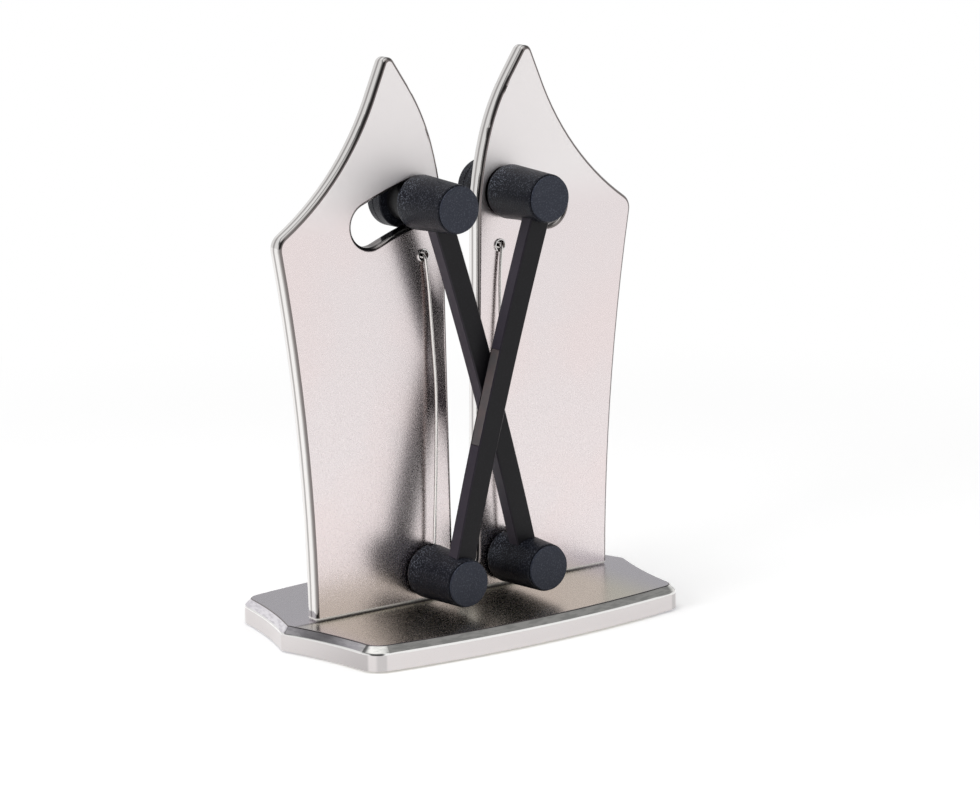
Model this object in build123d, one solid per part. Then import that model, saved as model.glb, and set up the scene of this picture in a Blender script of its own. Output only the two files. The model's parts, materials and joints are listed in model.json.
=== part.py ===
from build123d import *
import math
import os

# Bench knife sharpener. An upright notched plate stands on a low weighted base. Two sprung arms
# cross in front of the plate, one behind the other, and carry a hard strip each where they cross.
# A blade drawn down through the notch spreads the arms, whose upper ends run in curved slots.
# Millimetres. The origin is the bottom centre of the base, +X is right, -Y is the front, +Z is up.

# Gaps that many pieces share
RUN_GAP = 0.3  # between pieces that move past each other
FIT_GAP = 0.05  # round a shaft in its hole, or a piece in its pocket
OVERRUN = 1.0  # how far a cutter runs past the face that it opens

# Base
BASE_HALF_WIDTH = 60.4  # at the point in the middle of each side, before it is rounded
BASE_HALF_DEPTH = 38.1  # at the middle of the bowed front and back
BASE_SIDE_POINT = 7.3  # how far that point stands out past the corners
BASE_FRONT_BOW = 4.5  # how far the front and back bow out past the corners
BASE_SIDE_HOLLOW = 1.2  # how far each half of a side curves in
BASE_CORNER_RADIUS = 6.5
BASE_POINT_RADIUS = 3.0  # at the point in the middle of each side
BASE_CORNER_INSET_SHARE = 0.84  # how far a corner moves each way when the plan is set in
BASE_HEIGHT = 7.2
BASE_BEVEL = 2.0
BASE_EDGE_ROUND = 0.8  # along both edges of the bevel
BASE_TOP_WALL = 2.2
BASE_SIDE_WALL = 2.4
BASE_WALL_LIFT = 0.5  # from the pad's underside up to the wall's lower edge

# Pad, bottom cover and their screws
PAD_THICKNESS = 0.9
PAD_MARGIN = 2.0
PAD_HOLE_RADIUS = 2.8
COVER_THICKNESS = 1.2
COVER_GAP = 0.15
COVER_SCREW_SIDE_INSET = 4.6  # from the base's corners in towards the middle
COVER_SCREW_END_INSET = 13.8
COVER_SCREW_MID_INSET = 8.1  # from the middle of the bowed front
COVER_SCREW_RADIUS = 1.0
COVER_SCREW_HEAD_RADIUS = 1.9
COVER_SCREW_BITE = 2.0  # length of thread in the boss
COVER_SCREW_CROSS_WIDTH = 0.5
COVER_SCREW_CROSS_DEPTH = 0.5
BOSS_RADIUS = 2.6

# Ballast plate in the base
WEIGHT_SIDE_INSET = 10.6  # from the base's corners
WEIGHT_END_INSET = 8.8
WEIGHT_THICKNESS = 1.4
WEIGHT_CORNER_RADIUS = 5.0

# Upright plate, measured from the base's top
PLATE_THICKNESS = 5.0
PLATE_EDGE_ROUND = 1.2
PLATE_FOOT_BEVEL = 0.5
PLATE_FOOT_HALF_WIDTH = 50.4
PLATE_SHOULDER_HALF_WIDTH = 60.2  # before it is rounded
PLATE_SHOULDER_HEIGHT = 106.0
PLATE_SHOULDER_RADIUS = 4.5
PLATE_SIDE_HOLLOW = 2.35
HORN_ROOT_X = 29.4  # where the hollow flank above the shoulder turns straight
HORN_ROOT_HEIGHT = 141.2
HORN_FLANK_HOLLOW = 3.5
HORN_TIP_X = 23.5  # the horn's point before it is rounded
HORN_TIP_HEIGHT = 155.0
HORN_TIP_RADIUS = 2.0
NOTCH_MOUTH_X = 13.0  # half width of the notch where its straight flank ends
NOTCH_MOUTH_HEIGHT = 139.2
NOTCH_NECK_X = 5.7  # half width where the long slot begins
NOTCH_NECK_HEIGHT = 108.0
NOTCH_NECK_BOW = 1.4
NOTCH_BEND_RADIUS = 60.0  # where the flank meets the neck, and the neck meets the slot
NOTCH_END_X = 4.2  # half width at the slot's rounded lower end
NOTCH_END_HEIGHT = 6.0

# Tongues and screws that hold the plate on the base
TONGUE_X = 32.0
TONGUE_LENGTH = 10.0
TONGUE_THICKNESS = 3.0
TONGUE_DEPTH = 1.8
PLATE_SCREW_INNER_X = 23.0
PLATE_SCREW_OUTER_X = 41.0
PLATE_SCREW_RADIUS = 1.25
PLATE_SCREW_BITE = 10.0
PLATE_SCREW_HEAD_RADIUS = 2.2
PLATE_SCREW_HEAD_HEIGHT = 0.9
PLATE_WASHER_RADIUS = 2.9
PLATE_WASHER_THICKNESS = 0.4

# Arm geometry, heights measured from the base's top
PIVOT_HALF_SPACING = 13.72
PIVOT_HEIGHT = 9.0
GUIDE_HALF_SPACING = 15.23
GUIDE_HEIGHT = 113.0
SWING_ANGLE = 8.4  # degrees from rest to the slot's outer end
SLOT_HALF_WIDTH = 6.0
SLEEVE_GAP = 0.4

# Hubs
HUB_REAR_RADIUS = 7.7
HUB_FRONT_RADIUS = 6.7
HUB_REAR_ROUND = 1.8
HUB_FRONT_ROUND = 0.35
HUB_STANDOFF = 0.7  # from the plate's face to the hub
CAP_THICKNESS = 0.9
CAP_STEP = 0.35  # the cap's rim stands in from the hub's rim
CAP_EDGE_ROUND = 0.3
CAP_SEAM = 0.3
CAP_RING_WALL = 0.9
CAP_RING_LENGTH = 1.1
RECESS_RADIUS = 5.1

# Bolts through the hubs
BOLT_RADIUS = 1.5
BOLT_HEAD_RADIUS = 2.8
BOLT_HEAD_HEIGHT = 1.1
BOLT_SOCKET_ACROSS = 2.0
BOLT_SOCKET_DEPTH = 0.8
BOLT_THREAD_STICKOUT = 1.0
NUT_ACROSS = 5.5
NUT_THICKNESS = 2.4
WASHER_RADIUS = 3.5
WASHER_THICKNESS = 0.4
BUSH_WALL = 0.7
HEX_SIDES = 6

# Arm bars and hard strips
BAR_WIDTH = 6.3
BAR_DEPTH = 4.5
BAR_BOW = 1.25  # how far each bar arches towards its strip
BAR_TIP_OFFSET = 0.95  # from the guide's axis to the bar's middle, away from the strip
BAR_EDGE_BEVEL = 0.35
BAR_END = 3.6  # from each axis to the bar's end
ARM_GAP = 0.5  # between the two bars where they cross
POCKET_WALL = 0.7  # hub wall in front of the front bar
STRIP_LENGTH = 27.0
STRIP_THICKNESS = 1.4
STRIP_SINK = 0.12
STRIP_FLANGE = 0.4  # bar left on each side of the strip
STRIP_EDGE_BEVEL = 0.15

# Springs and their eyelets
WIRE_RADIUS = 0.45
COIL_PITCH = 1.35
COIL_TURNS = 2.5
COIL_STEPS_A_TURN = 4  # each a quarter turn of two arcs
COIL_BEND_RADIUS = 1.3
COIL_BEND_ANGLE = 35.0
COIL_CAVITY_GAP = 0.5
POST_WALL = 0.6
SPRING_COVER_THICKNESS = 1.2
SPRING_COVER_LEDGE = 0.9
SPRING_WEB = 1.2
SHORT_LEG = 1.6
LEG_TILT = 8.3  # degrees from upright where the leg leaves the hub
LEG_BOW = 1.75
LEG_LIFT = 0.86
# Each row: way down the leg, sideways bow, lift off the plate
LEG_SHARES = ((0.1, 0.47, 0.0), (0.28, 0.74, 0.42), (0.47, 1.0, 1.0), (0.76, 0.5, 0.66))
LEG_ARC_SHARE = 0.45
LEG_LARGEST_RADIUS = 216.0
WIRE_SAMPLE_STEP = 0.25  # between the points that the wire's gap to itself is measured on
HOOK_LENGTH = 3.5
HOOK_RADIUS = 1.0
HOOK_REACH = 1.1
EYELET_X = 13.03
EYELET_HEIGHT = 97.85
EYELET_BORE_RADIUS = 0.95
EYELET_WALL = 0.55
EYELET_FLANGE_RADIUS = 1.9
EYELET_FLANGE_THICKNESS = 0.45
EYELET_FLANGE_ROUND = 0.2
EYELET_MOUTH_RADIUS = 1.5
EYELET_MOUTH_DEPTH = 0.8

# Knobs and covers behind the plate
KNOB_RADIUS = 8.0
KNOB_STANDOFF = 0.8
KNOB_WEB = 1.5
KNOB_BODY_DEPTH = 3.3
KNOB_LID_DEPTH = 3.1
KNOB_SEAM = 0.3
KNOB_WALL = 1.6
KNOB_LID_WALL = 1.0
KNOB_LID_ROUND = 1.2
KNOB_FRONT_ROUND = 0.4
KNOB_SPIGOT_WALL = 1.0
KNOB_SPIGOT_LENGTH = 1.0
PIVOT_COVER_DEPTH = 7.0
PIVOT_COVER_WALL = 1.2

# Heights and depths worked out from the sizes above
BASE_CORNER_X = BASE_HALF_WIDTH - BASE_SIDE_POINT
BASE_CORNER_Y = BASE_HALF_DEPTH - BASE_FRONT_BOW
COVER_SCREW_X = BASE_CORNER_X - COVER_SCREW_SIDE_INSET
COVER_SCREW_Y = BASE_CORNER_Y - COVER_SCREW_END_INSET
COVER_SCREW_MID_Y = BASE_HALF_DEPTH - COVER_SCREW_MID_INSET
WEIGHT_WIDTH = 2 * (BASE_CORNER_X - WEIGHT_SIDE_INSET)
WEIGHT_DEPTH = 2 * (BASE_CORNER_Y - WEIGHT_END_INSET)
PLATE_FRONT_Y = -PLATE_THICKNESS / 2
PLATE_BACK_Y = PLATE_THICKNESS / 2
PIVOT_Z = BASE_HEIGHT + PIVOT_HEIGHT
ARM_SPAN_X = PIVOT_HALF_SPACING + GUIDE_HALF_SPACING
ARM_RISE = GUIDE_HEIGHT - PIVOT_HEIGHT
ARM_REACH = math.hypot(ARM_SPAN_X, ARM_RISE)
ARM_LEAN = math.degrees(math.atan2(ARM_SPAN_X, ARM_RISE))
COVER_TOP_Z = PAD_THICKNESS + COVER_THICKNESS
CEILING_Z = BASE_HEIGHT - BASE_TOP_WALL
WEIGHT_UNDER_Z = CEILING_Z - WEIGHT_THICKNESS
HUB_REAR_Y = PLATE_FRONT_Y - HUB_STANDOFF
CAVITY_REAR_Y = HUB_REAR_Y - SPRING_COVER_THICKNESS
LEG_Y = CAVITY_REAR_Y - RUN_GAP - WIRE_RADIUS
SHORT_LEG_Y = LEG_Y - COIL_TURNS * COIL_PITCH
CAVITY_FRONT_Y = SHORT_LEG_Y - WIRE_RADIUS - RUN_GAP
REAR_BAR_Y = CAVITY_FRONT_Y - SPRING_WEB
FRONT_BAR_Y = REAR_BAR_Y - BAR_DEPTH - ARM_GAP
RECESS_FLOOR_Y = FRONT_BAR_Y - BAR_DEPTH - POCKET_WALL
HEAD_REAR_Y = RECESS_FLOOR_Y - RUN_GAP
HUB_FRONT_Y = HEAD_REAR_Y - BOLT_HEAD_HEIGHT - RUN_GAP
BUSH_RADIUS = BOLT_RADIUS + FIT_GAP + BUSH_WALL
POST_RADIUS = BUSH_RADIUS + POST_WALL
COIL_RADIUS = POST_RADIUS + RUN_GAP + WIRE_RADIUS
CAVITY_RADIUS = COIL_RADIUS + WIRE_RADIUS + COIL_CAVITY_GAP
KNOB_FRONT_Y = PLATE_BACK_Y + KNOB_STANDOFF
KNOB_SEAM_Y = KNOB_FRONT_Y + KNOB_BODY_DEPTH
LID_FRONT_Y = KNOB_SEAM_Y + KNOB_SEAM
LID_REAR_Y = LID_FRONT_Y + KNOB_LID_DEPTH
KNOB_NUT_Y = KNOB_FRONT_Y + KNOB_WEB + WASHER_THICKNESS
PIVOT_NUT_Y = PLATE_BACK_Y + WASHER_THICKNESS


def rod(radius, y_start, y_end, x=0, z=0):
    """Round bar along Y."""
    return Pos(x, (y_start + y_end) / 2, z) * Rot(X=90) * Cylinder(radius, abs(y_end - y_start))


def tube(outer, inner, y_start, y_end, x=0, z=0):
    """Round tube along Y."""
    longer = rod(inner, min(y_start, y_end) - OVERRUN, max(y_start, y_end) + OVERRUN, x, z)
    return rod(outer, y_start, y_end, x, z) - longer


def post(radius, z_start, z_end, x=0, y=0):
    """Round bar along Z."""
    return Pos(x, y, (z_start + z_end) / 2) * Cylinder(radius, abs(z_end - z_start))


def block(x_span, y_span, z_span):
    """Box between two values on each axis."""
    spans = (x_span, y_span, z_span)
    middle = [(low + high) / 2 for low, high in spans]
    return Pos(*middle) * Box(*[abs(high - low) for low, high in spans])


def bowed(start, end, depth):
    """Arc from start to end that bows out by depth on the left of the way."""
    run_x, run_y = end[0] - start[0], end[1] - start[1]
    run = math.hypot(run_x, run_y)
    middle_x = (start[0] + end[0]) / 2 - run_y / run * depth
    middle_y = (start[1] + end[1]) / 2 + run_x / run * depth
    return ThreePointArc(start, (middle_x, middle_y), end)


def turned(points, rounds):
    """Solid turned about Y from points of radius and Y, with some of them rounded."""
    face = make_face(Polyline(*points, close=True))
    for point, radius in rounds:
        corner = face.vertices().sort_by_distance((*point, 0))[0]
        face = fillet(corner, radius)
    return revolve(face, Axis.Y)


# Base


def base_outline(inset=0):
    """Plan of the base, set in all round: bowed front and back, sides that curve out to a point."""
    right, back = (size - inset * BASE_CORNER_INSET_SHARE for size in (BASE_CORNER_X, BASE_CORNER_Y))
    left, front, tip = -right, -back, BASE_HALF_WIDTH - inset
    bow = BASE_HALF_DEPTH - inset - back
    edges = [
        bowed((left, front), (right, front), -bow),
        bowed((right, front), (tip, 0), BASE_SIDE_HOLLOW),
        bowed((tip, 0), (right, back), BASE_SIDE_HOLLOW),
        bowed((right, back), (left, back), -bow),
        bowed((left, back), (-tip, 0), BASE_SIDE_HOLLOW),
        bowed((-tip, 0), (left, front), BASE_SIDE_HOLLOW),
    ]
    face = make_face(Curve() + edges)
    rounds = [((x, y), BASE_CORNER_RADIUS) for x in (left, right) for y in (front, back)]
    rounds += [((x, 0), BASE_POINT_RADIUS) for x in (-tip, tip)]
    for point, radius in rounds:
        corner = face.vertices().sort_by_distance((*point, 0))[0]
        face = fillet(corner, max(radius - inset, radius / 4))
    return face


def base_layer(inset, z_start, z_end):
    """Slab with the base's plan, set in all round."""
    return Pos(0, 0, z_start) * extrude(base_outline(inset), z_end - z_start)


def cover_screw_places():
    """Plan places of the screws: one near each corner, and one in the middle at the front and back."""
    corners = [(x, y) for x in (-COVER_SCREW_X, COVER_SCREW_X) for y in (-COVER_SCREW_Y, COVER_SCREW_Y)]
    return corners + [(0, -COVER_SCREW_MID_Y), (0, COVER_SCREW_MID_Y)]


def plate_screw_places():
    return [sign * x for sign in (-1, 1) for x in (PLATE_SCREW_INNER_X, PLATE_SCREW_OUTER_X)]


def tongues(gap, z_low):
    """The two tongues under the plate's foot, grown by a gap and reaching down to z_low."""
    half_x, half_y = TONGUE_LENGTH / 2 + gap, TONGUE_THICKNESS / 2 + gap
    one = block((-half_x, half_x), (-half_y, half_y), (z_low, BASE_HEIGHT))
    return Pos(-TONGUE_X, 0, 0) * one + Pos(TONGUE_X, 0, 0) * one


def is_level(edge):
    box = edge.bounding_box()
    return box.max.Z - box.min.Z < FIT_GAP


def make_base_shell():
    shell = base_layer(0, BASE_WALL_LIFT, BASE_HEIGHT)
    shell = chamfer(shell.edges().group_by(Axis.Z)[-1], BASE_BEVEL)
    bevel_edges = shell.edges().filter_by_position(Axis.Z, BASE_HEIGHT - BASE_BEVEL, BASE_HEIGHT)
    shell = fillet([e for e in bevel_edges if is_level(e)], BASE_EDGE_ROUND)
    shell -= base_layer(BASE_SIDE_WALL, BASE_WALL_LIFT - OVERRUN, CEILING_Z)
    for x, y in cover_screw_places():
        shell += post(BOSS_RADIUS, COVER_TOP_Z, CEILING_Z + OVERRUN, x, y)
        shell -= post(COVER_SCREW_RADIUS + FIT_GAP, COVER_TOP_Z - OVERRUN, CEILING_Z, x, y)
    for x in plate_screw_places():
        shell -= post(PLATE_SCREW_RADIUS + FIT_GAP, CEILING_Z - OVERRUN, BASE_HEIGHT + OVERRUN, x)
    return shell - tongues(FIT_GAP, CEILING_Z - OVERRUN)


def make_base_weight():
    plan = RectangleRounded(WEIGHT_WIDTH, WEIGHT_DEPTH, WEIGHT_CORNER_RADIUS)
    weight = Pos(0, 0, WEIGHT_UNDER_Z) * extrude(plan, WEIGHT_THICKNESS)
    for x in plate_screw_places():
        weight -= post(PLATE_SCREW_RADIUS + RUN_GAP, WEIGHT_UNDER_Z - OVERRUN, CEILING_Z + OVERRUN, x)
    return weight


def make_bottom_cover():
    cover = base_layer(BASE_SIDE_WALL + COVER_GAP, PAD_THICKNESS, COVER_TOP_Z)
    for x, y in cover_screw_places():
        cover -= post(COVER_SCREW_RADIUS + FIT_GAP, 0, COVER_TOP_Z + OVERRUN, x, y)
        cover -= screw_head(FIT_GAP, x, y)
    return cover


def make_non_slip_pad():
    pad = base_layer(BASE_SIDE_WALL + PAD_MARGIN, 0, PAD_THICKNESS)
    for x, y in cover_screw_places():
        pad -= post(PAD_HOLE_RADIUS, -OVERRUN, PAD_THICKNESS + OVERRUN, x, y)
    return pad


def screw_head(gap, x, y):
    """Flat head that narrows to the shank's radius, as deep as the cover less a little."""
    height = COVER_SCREW_HEAD_RADIUS - COVER_SCREW_RADIUS
    cone = Cone(COVER_SCREW_HEAD_RADIUS + gap, COVER_SCREW_RADIUS + gap, height)
    return Pos(x, y, PAD_THICKNESS + height / 2) * cone


def make_bottom_cover_screws():
    screws = []
    for x, y in cover_screw_places():
        shank = post(COVER_SCREW_RADIUS, PAD_THICKNESS, COVER_TOP_Z + COVER_SCREW_BITE, x, y)
        screw = screw_head(0, x, y) + shank
        half = COVER_SCREW_HEAD_RADIUS / 2
        thin = COVER_SCREW_CROSS_WIDTH / 2
        deep = (PAD_THICKNESS - OVERRUN, PAD_THICKNESS + COVER_SCREW_CROSS_DEPTH)
        cross = block((x - half, x + half), (y - thin, y + thin), deep)
        cross += block((x - thin, x + thin), (y - half, y + half), deep)
        screws.append(screw - cross)
    return Compound(children=[s.solid() for s in screws])


# Upright plate


def plate_outline():
    """Front view of the plate, with its foot at height zero."""
    foot = (PLATE_FOOT_HALF_WIDTH, 0)
    shoulder = (PLATE_SHOULDER_HALF_WIDTH, PLATE_SHOULDER_HEIGHT)
    root = (HORN_ROOT_X, HORN_ROOT_HEIGHT)
    tip = (HORN_TIP_X, HORN_TIP_HEIGHT)
    mouth = (NOTCH_MOUTH_X, NOTCH_MOUTH_HEIGHT)
    neck = (NOTCH_NECK_X, NOTCH_NECK_HEIGHT)
    slot_end = (NOTCH_END_X, NOTCH_END_HEIGHT + NOTCH_END_X)
    edges = [
        Line((0, 0), foot),
        bowed(foot, shoulder, PLATE_SIDE_HOLLOW),
        bowed(shoulder, root, HORN_FLANK_HOLLOW),
        Line(root, tip),
        Line(tip, mouth),
        bowed(mouth, neck, -NOTCH_NECK_BOW),
        Line(neck, slot_end),
        RadiusArc(slot_end, (0, NOTCH_END_HEIGHT), NOTCH_END_X),
        Line((0, NOTCH_END_HEIGHT), (0, 0)),
    ]
    half = make_face(Curve() + edges)
    sharp = ((shoulder, PLATE_SHOULDER_RADIUS), (tip, HORN_TIP_RADIUS))
    gentle = ((mouth, NOTCH_BEND_RADIUS), (neck, NOTCH_BEND_RADIUS))
    for point, radius in sharp + gentle:
        half = fillet(half.vertices().sort_by_distance((*point, 0))[0], radius)
    return half + mirror(half, Plane.YZ)


def guide_slot():
    """Curved slot about the opposite pivot for the guide at the upper left."""
    first = 90 + ARM_LEAN
    centre = (PIVOT_HALF_SPACING, PIVOT_HEIGHT)
    return SlotArc(CenterArc(centre, ARM_REACH, first, SWING_ANGLE), 2 * SLOT_HALF_WIDTH)


def make_face_plate():
    flat = plate_outline() - guide_slot() - mirror(guide_slot(), Plane.YZ)
    plate = extrude(Plane.XZ * flat, PLATE_THICKNESS / 2, both=True)
    rims = [e for e in plate.edges() if abs(e.center().Y) > PLATE_THICKNESS / 2 - FIT_GAP]
    plate = fillet([e for e in rims if e.center().Z > FIT_GAP], PLATE_EDGE_ROUND)
    foot_rims = plate.faces().sort_by(Axis.Z)[0].edges().filter_by(Axis.X)
    plate = Pos(0, 0, BASE_HEIGHT) * chamfer(foot_rims, PLATE_FOOT_BEVEL)
    plate += tongues(0, BASE_HEIGHT - TONGUE_DEPTH)
    for sign in (-1, 1):
        pivot_x = sign * PIVOT_HALF_SPACING
        plate -= rod(BOLT_RADIUS + FIT_GAP, PLATE_FRONT_Y - OVERRUN, PLATE_BACK_Y + OVERRUN, pivot_x, PIVOT_Z)
        hole = EYELET_BORE_RADIUS + EYELET_WALL + FIT_GAP
        eyelet_z = BASE_HEIGHT + EYELET_HEIGHT
        plate -= rod(hole, PLATE_FRONT_Y - OVERRUN, PLATE_BACK_Y + OVERRUN, sign * EYELET_X, eyelet_z)
    for x in plate_screw_places():
        plate -= post(PLATE_SCREW_RADIUS + FIT_GAP, 0, BASE_HEIGHT + PLATE_SCREW_BITE + RUN_GAP, x)
    return plate


def make_plate_screws():
    screws = []
    for x in plate_screw_places():
        head_top = WEIGHT_UNDER_Z - PLATE_WASHER_THICKNESS
        shank = post(PLATE_SCREW_RADIUS, head_top, BASE_HEIGHT + PLATE_SCREW_BITE, x)
        head = post(PLATE_SCREW_HEAD_RADIUS, head_top - PLATE_SCREW_HEAD_HEIGHT, head_top, x)
        screws.append(shank + head)
    return Compound(children=[s.solid() for s in screws])


def make_plate_screw_washers():
    washers = []
    for x in plate_screw_places():
        low = WEIGHT_UNDER_Z - PLATE_WASHER_THICKNESS
        washer = post(PLATE_WASHER_RADIUS, low, WEIGHT_UNDER_Z, x)
        washers.append(washer - post(PLATE_SCREW_RADIUS + FIT_GAP, low - OVERRUN, CEILING_Z, x))
    return Compound(children=[w.solid() for w in washers])


# Bolts, nuts and washers on an axis along Y


def bolt(end_y):
    """Bolt with a low socket head at the front, which ends at end_y behind the plate."""
    head_front = HEAD_REAR_Y - BOLT_HEAD_HEIGHT
    body = rod(BOLT_RADIUS, HEAD_REAR_Y, end_y) + rod(BOLT_HEAD_RADIUS, head_front, HEAD_REAR_Y)
    hexagon = RegularPolygon(BOLT_SOCKET_ACROSS / 2, HEX_SIDES, major_radius=False)
    socket = extrude(Plane.XZ.offset(-head_front - BOLT_SOCKET_DEPTH) * hexagon, BOLT_SOCKET_DEPTH + OVERRUN)
    return body - socket


def nut(y_start):
    hexagon = RegularPolygon(NUT_ACROSS / 2, HEX_SIDES, major_radius=False)
    body = extrude(Plane.XZ.offset(-y_start - NUT_THICKNESS) * hexagon, NUT_THICKNESS)
    return body - rod(BOLT_RADIUS + FIT_GAP, y_start - OVERRUN, y_start + NUT_THICKNESS + OVERRUN)


def washer(y_start):
    return tube(WASHER_RADIUS, BOLT_RADIUS + FIT_GAP, y_start, y_start + WASHER_THICKNESS)


def at_pivots(piece):
    """The same piece on both lower axes, as separate solids."""
    pair = [Pos(sign * PIVOT_HALF_SPACING, 0, PIVOT_Z) * piece for sign in (-1, 1)]
    return Compound(children=[p.solid() for p in pair])


def make_pivot_cover():
    """Cup over the nut on the plate's back."""
    rear = PLATE_BACK_Y + PIVOT_COVER_DEPTH
    outer = ((0, PLATE_BACK_Y), (KNOB_RADIUS, PLATE_BACK_Y), (KNOB_RADIUS, rear), (0, rear))
    rounds = (((KNOB_RADIUS, rear), KNOB_LID_ROUND), ((KNOB_RADIUS, PLATE_BACK_Y), KNOB_FRONT_ROUND))
    cup = turned(outer, rounds)
    room = rod(KNOB_RADIUS - PIVOT_COVER_WALL, PLATE_BACK_Y - OVERRUN, rear - PIVOT_COVER_WALL)
    grip_radius = NUT_ACROSS / math.sqrt(3) + FIT_GAP
    grip_start = PIVOT_NUT_Y + FIT_GAP
    grip = tube(grip_radius + PIVOT_COVER_WALL, grip_radius, grip_start, rear - PIVOT_COVER_WALL / 2)
    return cup - room + grip


# Springs


def between(a, b, share):
    return a + (b - a) * share


def biarc(start, way_in, end, way_out):
    """Two arcs that leave start along way_in, meet smoothly and reach end along way_out."""
    gap, ways = end - start, way_in + way_out
    fall = 2 * (1 - way_in.dot(way_out))
    along = gap.dot(ways)
    reach = (math.sqrt(along * along + fall * gap.dot(gap)) - along) / fall
    joint = (start + end + (way_in - way_out) * reach) / 2
    way_mid = (end - way_out * reach - start - way_in * reach).normalized()
    return [TangentArc(start, joint, tangent=way_in), TangentArc(joint, end, tangent=way_mid)]


def leg_points():
    """Places along the left spring's long leg, from its hook behind the plate down to its coil."""
    top_z = BASE_HEIGHT + EYELET_HEIGHT
    hook_y = PLATE_BACK_Y + HOOK_REACH
    top_y = PLATE_FRONT_Y - EYELET_FLANGE_THICKNESS - FIT_GAP - WIRE_RADIUS
    top = Vector(-EYELET_X, top_y, top_z)
    tilt = math.radians(LEG_TILT)
    axis = Vector(-PIVOT_HALF_SPACING, LEG_Y, PIVOT_Z)
    out = Vector(math.sin(tilt), 0, math.cos(tilt))
    gate = axis + out * HUB_REAR_RADIUS
    points = [Vector(-EYELET_X, hook_y, top_z - HOOK_LENGTH), Vector(-EYELET_X, hook_y, top_z), top]
    for down, bow, lift in LEG_SHARES:
        points.append(between(top, gate, down) + Vector(LEG_BOW * bow, -LEG_LIFT * lift, 0))
    return points + [gate, axis + out * (COIL_RADIUS + COIL_BEND_RADIUS)]


def leg_radii(points):
    """Bend radius at each inner point: small at the hook, and as large as the runs allow below it."""
    radii = []
    for before, here, after in zip(points, points[1:], points[2:]):
        turn = math.radians((here - before).get_angle(after - here))
        shorter = min((here - before).length, (after - here).length)
        radii.append(min(LEG_ARC_SHARE * shorter / math.tan(turn / 2), LEG_LARGEST_RADIUS))
    return [HOOK_RADIUS, HOOK_RADIUS] + radii[2:]


def coil_point(turned_by):
    """Point and direction on the left spring's coil, turned_by degrees from where the leg meets it."""
    angle = math.radians(LEG_TILT + turned_by)
    out = Vector(math.sin(angle), 0, math.cos(angle))
    y = LEG_Y - COIL_PITCH * turned_by / 360
    rise = -COIL_PITCH / math.tau
    way = Vector(math.cos(angle) * COIL_RADIUS, rise, -math.sin(angle) * COIL_RADIUS).normalized()
    return Vector(-PIVOT_HALF_SPACING, y, PIVOT_Z) + out * COIL_RADIUS, way, out


def spring_path():
    """Middle line of the left spring: a hook, a long leg, a coil round the pivot and a short leg."""
    points = leg_points()
    edges = list(FilletPolyline(*points, radius=leg_radii(points)).edges())
    angle, last = COIL_BEND_ANGLE, 360 * COIL_TURNS - COIL_BEND_ANGLE
    start, way = coil_point(angle)[:2]
    edges += biarc(points[-1], (points[-1] - points[-2]).normalized(), start, way)
    steps = round(COIL_TURNS * COIL_STEPS_A_TURN)
    for step in range(steps):
        end, end_way = coil_point(between(angle, last, (step + 1) / steps))[:2]
        edges += biarc(start, way, end, end_way)
        start, way = end, end_way
    foot_out = coil_point(360 * COIL_TURNS)[2]
    foot = Vector(-PIVOT_HALF_SPACING, SHORT_LEG_Y, PIVOT_Z) + foot_out * (COIL_RADIUS + COIL_BEND_RADIUS)
    edges += biarc(start, way, foot, foot_out)
    edges.append(Line(foot, foot + foot_out * (SHORT_LEG - COIL_BEND_RADIUS)))
    return Wire(edges)


def make_left_spring(path):
    return sweep(Plane(path @ 0, z_dir=path % 0) * Circle(WIRE_RADIUS), path)


def spring_gap(path):
    """Least gap of the wire to itself, between places that lie half a turn or more apart along it."""
    count = round(path.length / WIRE_SAMPLE_STEP)
    points = [tuple(path @ (i / count)) for i in range(count + 1)]
    apart = round(math.pi * COIL_RADIUS / WIRE_SAMPLE_STEP)
    nearest = min(math.dist(a, b) for i, a in enumerate(points) for b in points[i + apart :])
    return nearest - 2 * WIRE_RADIUS


def make_eyelet():
    """Bush for the wire, with a round flange that is dished towards its bore."""
    front = PLATE_FRONT_Y - EYELET_FLANGE_THICKNESS
    outer = EYELET_BORE_RADIUS + EYELET_WALL
    rim = (EYELET_FLANGE_RADIUS, front)
    points = (
        (EYELET_BORE_RADIUS, PLATE_BACK_Y),
        (outer, PLATE_BACK_Y),
        (outer, PLATE_FRONT_Y),
        (EYELET_FLANGE_RADIUS, PLATE_FRONT_Y),
        rim,
        (EYELET_MOUTH_RADIUS, front),
        (EYELET_BORE_RADIUS, front + EYELET_MOUTH_DEPTH),
    )
    ring = turned(points, ((rim, EYELET_FLANGE_ROUND),))
    return Pos(-EYELET_X, 0, BASE_HEIGHT + EYELET_HEIGHT) * ring


# Arms, made upright with the pivot at the origin. facing is 1 where the strip faces +X, else -1


def bar_rear(is_front):
    return FRONT_BAR_Y if is_front else REAR_BAR_Y


def bar_middle(height):
    """How far the bar's middle lies from the line through both axes, towards the strip."""
    share = height / ARM_REACH
    return 4 * BAR_BOW * share * (1 - share) - BAR_TIP_OFFSET * share


def arched(facing, inner, outer, y_span, z_span):
    """Solid between two distances from the bar's arched middle, counted towards the strip."""
    heights = (z_span[0], sum(z_span) / 2, z_span[1])
    near, far = [[(facing * (bar_middle(h) + out), h) for h in heights] for out in (inner, outer)]
    edges = [ThreePointArc(*near), Line(near[2], far[2]), ThreePointArc(*far), Line(far[0], near[0])]
    plane = Plane.XZ.offset(-sum(y_span) / 2)
    return extrude(plane * make_face(Curve() + edges), (y_span[1] - y_span[0]) / 2, both=True)


def bar_room(facing, is_front, gap, z_start, z_end):
    """Space of the bar between two heights, grown by a gap."""
    half = BAR_WIDTH / 2 + gap
    rear = bar_rear(is_front)
    return arched(facing, -half, half, (rear - BAR_DEPTH - gap, rear + gap), (z_start, z_end))


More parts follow.
